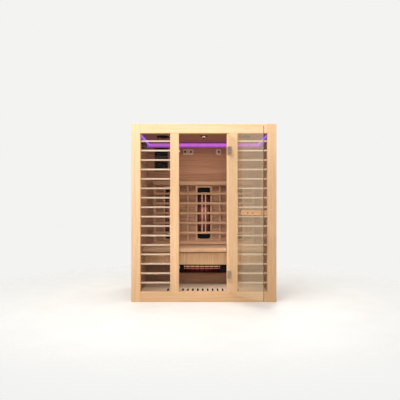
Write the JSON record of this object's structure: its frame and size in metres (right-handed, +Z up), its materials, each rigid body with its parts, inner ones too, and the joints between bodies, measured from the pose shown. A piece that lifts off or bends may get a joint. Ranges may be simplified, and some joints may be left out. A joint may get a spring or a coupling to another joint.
{
  "type": "infrared sauna cabin",
  "caption": "Free-standing timber infrared sauna cabin with slatted side windows, a frameless hinged glass door, a bench with a slatted backrest, infrared heaters and coloured light.",
  "frame": {"origin": "middle of the cabin's footprint, on the ground", "axes": "+X to the right seen from the front, +Y from the door into the cabin, +Z up"},
  "size_m": [1.54, 1.5307, 1.89],
  "materials": {
    "frame_timber": "sanded pale softwood",
    "slat_timber": "sanded pale softwood",
    "wall_timber": "sanded softwood boards",
    "bench_timber": "sanded softwood boards",
    "handle_timber": "sanded softwood",
    "clear_glass": "clear tempered",
    "black_glass": "gloss",
    "black_plastic": "matte",
    "bezel_plastic": "satin",
    "white_plastic": "satin",
    "steel": "satin",
    "heater_tube": "glowing quartz",
    "violet_light": "lit diffuser"
  },
  "bodies": {
    "cabin": {"air_ioniser": "black_plastic", "back_heater_element_left": "heater_tube", "back_heater_element_middle": "heater_tube", "back_heater_element_right": "heater_tube", "back_heater_housing_left": "black_plastic", "back_heater_housing_middle": "black_plastic", "back_heater_housing_right": "black_plastic", "back_wall": "wall_timber", "backrest_grille": "slat_timber", "bench_kickboard": "bench_timber", "bench_nosing": "bench_timber", "bench_seat": "bench_timber", "catch_lower": "white_plastic", "catch_upper": "white_plastic", "ceiling_lamp": "white_plastic", "ceiling_panel": "wall_timber", "control_bezel": "bezel_plastic", "control_display": "black_glass", "floor_board_front": "bench_timber", "floor_board_rear": "bench_timber", "foot_grille": "bench_timber", "foot_heater": "black_plastic", "front_bottom_rail": "frame_timber", "front_post_left": "frame_timber", "front_post_right": "frame_timber", "front_top_rail": "frame_timber", "hinge_jamb": "frame_timber", "hinge_lower_base": "steel", "hinge_lower_pin": "steel", "hinge_upper_base": "steel", "hinge_upper_pin": "steel", "hook_rail_left": "slat_timber", "hook_rail_right": "slat_timber", "kick_heater_element": "heater_tube", "kick_heater_guard": "steel", "kick_heater_housing": "black_plastic", "left_wall": "wall_timber", "light_strip": "violet_light", "mains_inlet": "black_plastic", "mullion_left": "frame_timber", "mullion_right": "frame_timber", "power_supply": "steel", "right_wall": "wall_timber", "roof_cover": "wall_timber", "seat_cleat_left": "bench_timber", "seat_cleat_right": "bench_timber", "speaker_left": "black_plastic", "speaker_right": "black_plastic", "window_pane_left": "clear_glass", "window_pane_right": "clear_glass", "window_slats_left": "slat_timber", "window_slats_right": "slat_timber"},
    "door": {"door_glass": "clear_glass", "door_handle_inner": "handle_timber", "door_handle_outer": "handle_timber", "hinge_upper_leaf": "steel", "hinge_lower_leaf": "steel", "strike_upper": "steel", "strike_lower": "steel"}
  },
  "joints": [
    {"name": "door_hinge", "type": "hinge", "parent": "cabin", "child": "door", "pos_m": [0.256, -0.559, 0], "axis": [0, 0, 1], "range_deg": [-128, 42]}
  ]
}
